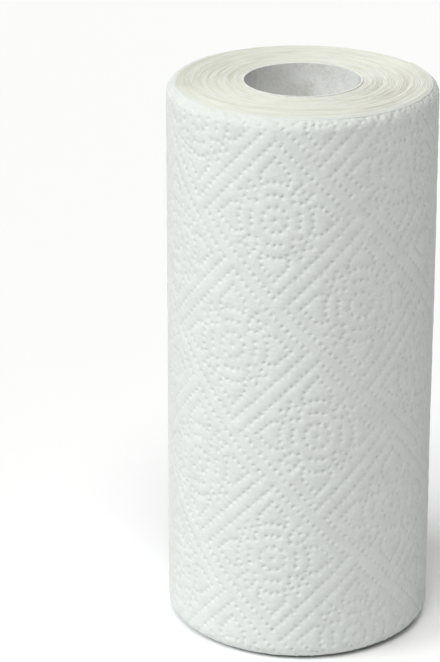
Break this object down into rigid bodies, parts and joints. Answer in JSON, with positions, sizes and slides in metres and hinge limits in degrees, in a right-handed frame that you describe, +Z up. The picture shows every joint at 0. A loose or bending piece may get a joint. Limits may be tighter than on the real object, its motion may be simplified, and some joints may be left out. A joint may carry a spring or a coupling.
{
  "type": "paper towel roll",
  "caption": "Roll of white embossed kitchen paper wound on a grey paperboard core tube, standing on its end.",
  "frame": {"origin": "middle of the bottom end, on the roll's axis", "axes": "+Z up along the core's axis; -Y faces the viewer and the end of the web lies on the far side, 30 degrees anticlockwise from +X"},
  "size_m": [0.1089, 0.1085, 0.23],
  "materials": {
    "core_board": "matt grey recycled paperboard, wound from strip",
    "tissue_paper": "soft white tissue, embossed with a dotted diamond pattern"
  },
  "bodies": {
    "root": {"core_tube": "core_board", "paper_winding": "tissue_paper"}
  },
  "joints": []
}
